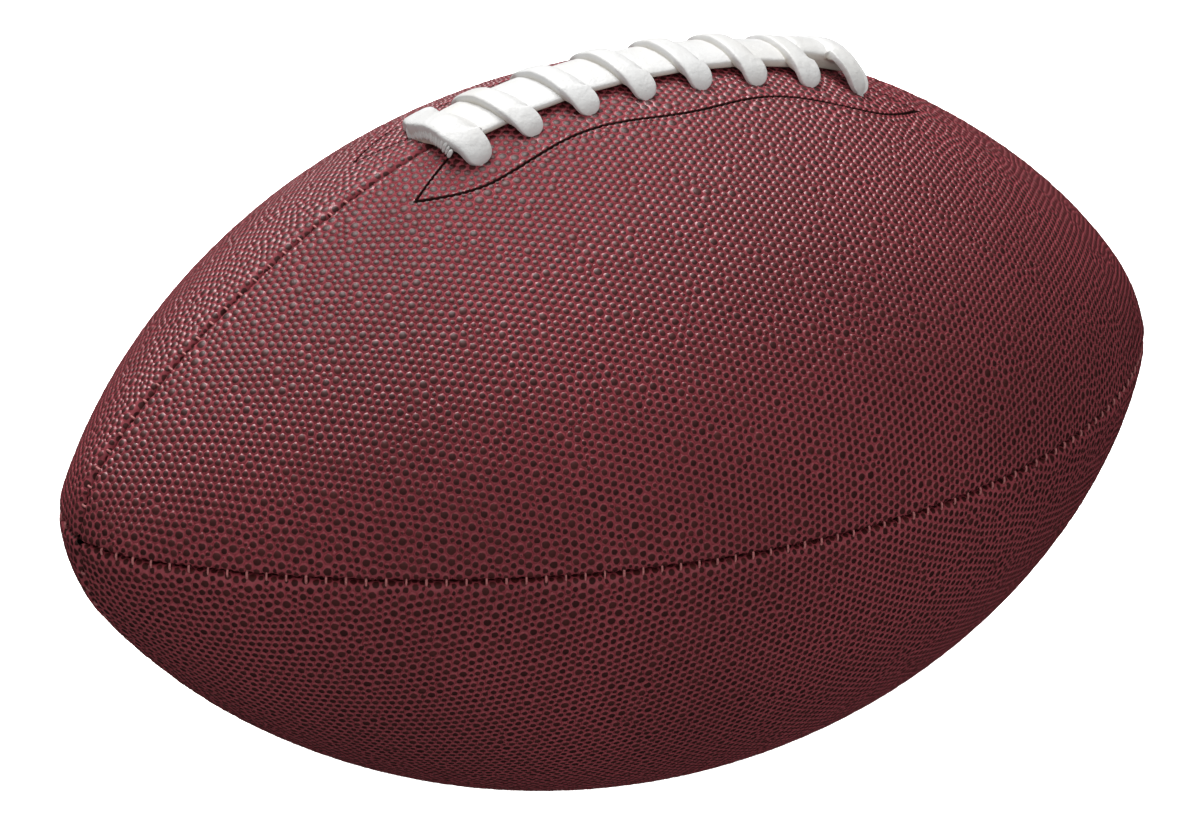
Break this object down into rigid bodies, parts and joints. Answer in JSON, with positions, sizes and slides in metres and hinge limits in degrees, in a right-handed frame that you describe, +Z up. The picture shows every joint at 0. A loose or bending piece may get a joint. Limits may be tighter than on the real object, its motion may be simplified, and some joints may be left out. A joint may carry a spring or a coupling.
{
  "type": "american football",
  "caption": "Full-size american football with a pebbled four-panel cover, turned-in sewn seams, white lacing over smooth-edged inserts, lining, bladder and needle valve.",
  "frame": {"origin": "the lowest point of the ball, under the middle of its length, with the lacing on top", "axes": "+X along the ball from tip to tip, +Z up through the lace seam, -Y towards the side shown in the picture"},
  "size_m": [0.28, 0.1654, 0.1738],
  "materials": {
    "cover": "pebbled, satin",
    "insert": "pebbled, satin",
    "lace": "soft, matt",
    "thread": "twisted cord",
    "lining": "laminated cloth",
    "backing": "felted cloth",
    "tongue": "woven cloth",
    "bladder": "smooth, dull",
    "valve": "smooth, dull"
  },
  "bodies": {
    "root": {"front_lace_panel": "cover", "back_lace_panel": "cover", "front_bottom_panel": "cover", "back_bottom_panel": "cover", "front_lace_insert": "insert", "back_lace_insert": "insert", "front_lace_backing": "backing", "back_lace_backing": "backing", "front_lace_lining": "lining", "back_lace_lining": "lining", "front_bottom_lining": "lining", "back_bottom_lining": "lining", "bladder": "bladder", "lace_tongue": "tongue", "valve_body": "valve", "valve_plug": "valve", "lace_run": "lace", "lace_crossbar_1": "lace", "lace_crossbar_2": "lace", "lace_crossbar_3": "lace", "lace_crossbar_4": "lace", "lace_crossbar_5": "lace", "lace_crossbar_6": "lace", "lace_crossbar_7": "lace", "lace_crossbar_8": "lace", "lace_seam_thread": "thread", "front_seam_thread": "thread", "back_seam_thread": "thread", "bottom_seam_thread": "thread"}
  },
  "joints": []
}
